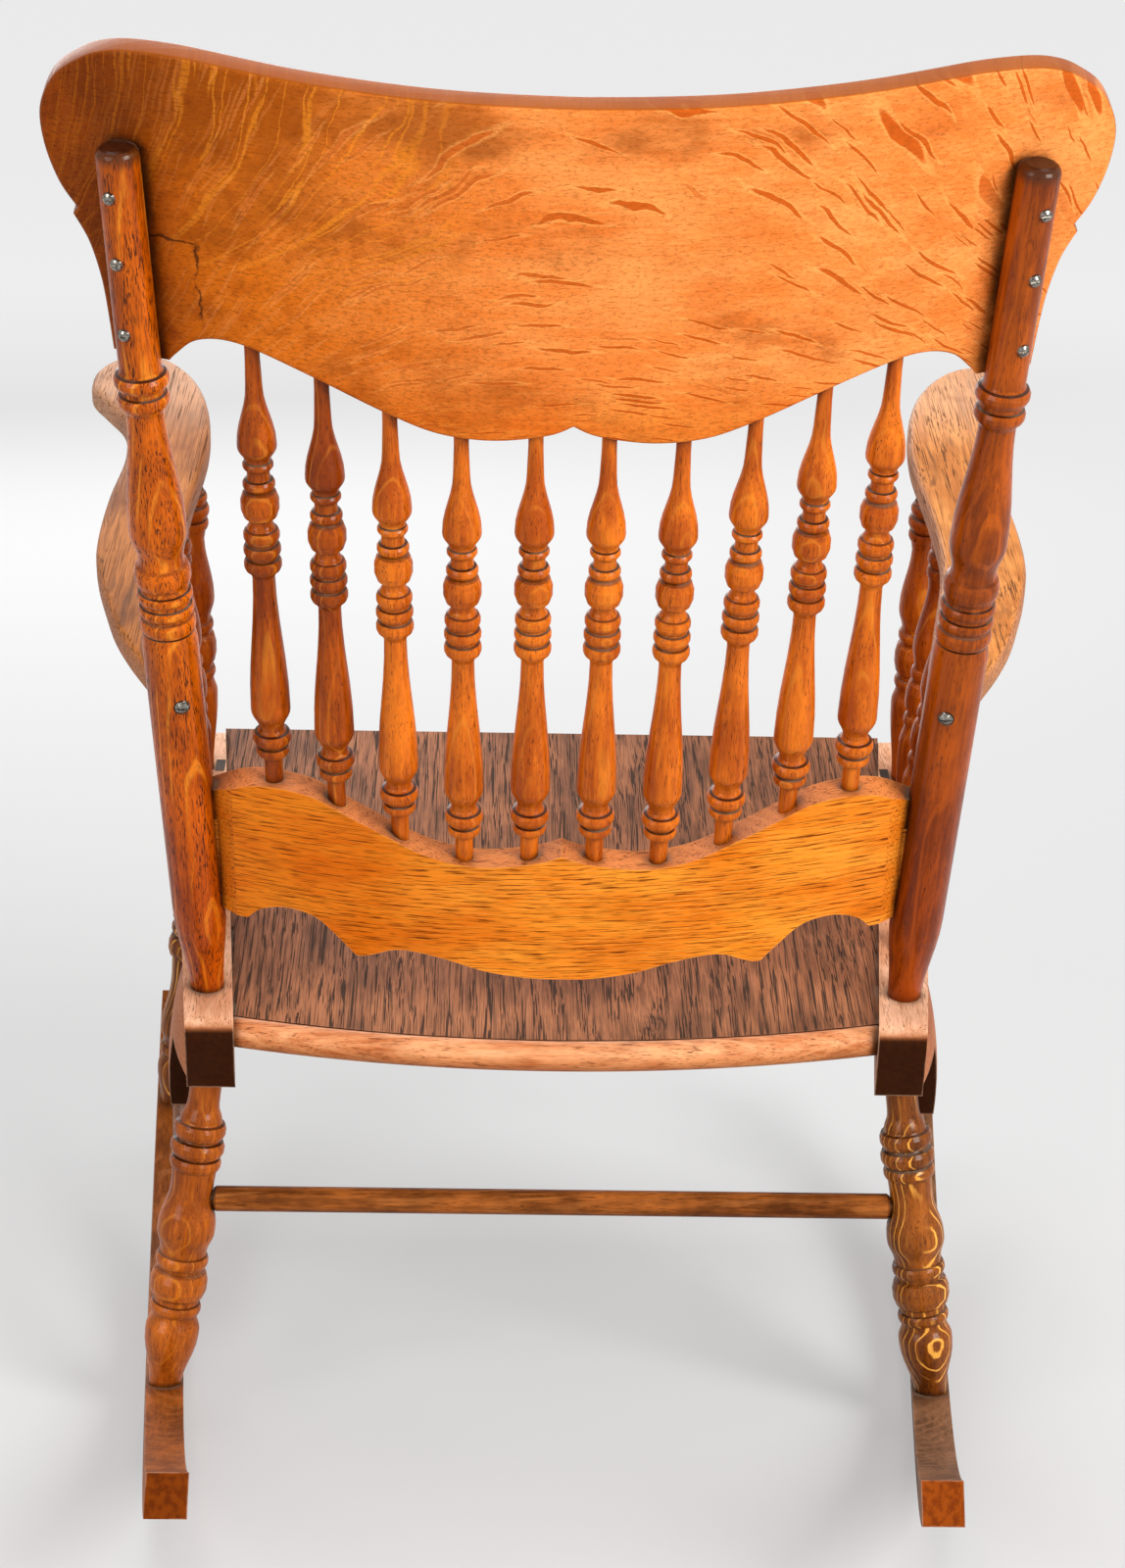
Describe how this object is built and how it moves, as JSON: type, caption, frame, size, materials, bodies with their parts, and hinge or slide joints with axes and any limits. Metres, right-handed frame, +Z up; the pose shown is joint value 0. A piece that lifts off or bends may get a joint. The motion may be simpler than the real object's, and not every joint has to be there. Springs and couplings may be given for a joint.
{
  "type": "rocking chair",
  "caption": "Oak rocking chair with a pressed and bowed crest rail, turned back spindles and posts, flat arms over turned spindles, a boarded seat and two curved rockers.",
  "frame": {"origin": "on the floor, midway between the tips of the rockers and between the two rockers", "axes": "+Z up, -Y the way the chair faces, +X towards the sitter's left"},
  "size_m": [0.7622, 0.834, 1.0399],
  "materials": {
    "turned_oak": "varnished golden oak",
    "back_oak": "varnished quarter-sawn oak",
    "rail_oak": "worn varnished oak",
    "seat_oak": "darkened varnished oak",
    "arm_oak": "worn varnished oak",
    "rocker_oak": "worn varnished oak",
    "dark_oak": "dark plug",
    "dark_steel": "aged steel"
  },
  "bodies": {
    "root": {"rocker_left": "rocker_oak", "rocker_right": "rocker_oak", "rear_leg_left": "turned_oak", "rear_leg_right": "turned_oak", "front_leg_left": "turned_oak", "front_leg_right": "turned_oak", "rear_stretcher": "turned_oak", "front_stretcher": "turned_oak", "side_stretcher_left": "turned_oak", "side_stretcher_right": "turned_oak", "side_rail_left": "rail_oak", "side_rail_right": "rail_oak", "rear_seat_rail": "rail_oak", "front_seat_rail": "rail_oak", "seat_panel": "seat_oak", "back_post_left": "turned_oak", "back_post_right": "turned_oak", "crest_rail": "back_oak", "lower_back_rail": "back_oak", "back_spindle_1": "turned_oak", "back_spindle_2": "turned_oak", "back_spindle_3": "turned_oak", "back_spindle_4": "turned_oak", "back_spindle_5": "turned_oak", "back_spindle_6": "turned_oak", "back_spindle_7": "turned_oak", "back_spindle_8": "turned_oak", "back_spindle_9": "turned_oak", "back_spindle_10": "turned_oak", "arm_left": "arm_oak", "arm_right": "arm_oak", "front_arm_post_left": "turned_oak", "front_arm_post_right": "turned_oak", "arm_spindle_left_1": "turned_oak", "arm_spindle_left_2": "turned_oak", "arm_spindle_left_3": "turned_oak", "arm_spindle_left_4": "turned_oak", "arm_spindle_right_1": "turned_oak", "arm_spindle_right_2": "turned_oak", "arm_spindle_right_3": "turned_oak", "arm_spindle_right_4": "turned_oak", "crest_screws": "dark_steel", "arm_screws": "dark_steel", "rail_plugs": "dark_oak"}
  },
  "joints": []
}
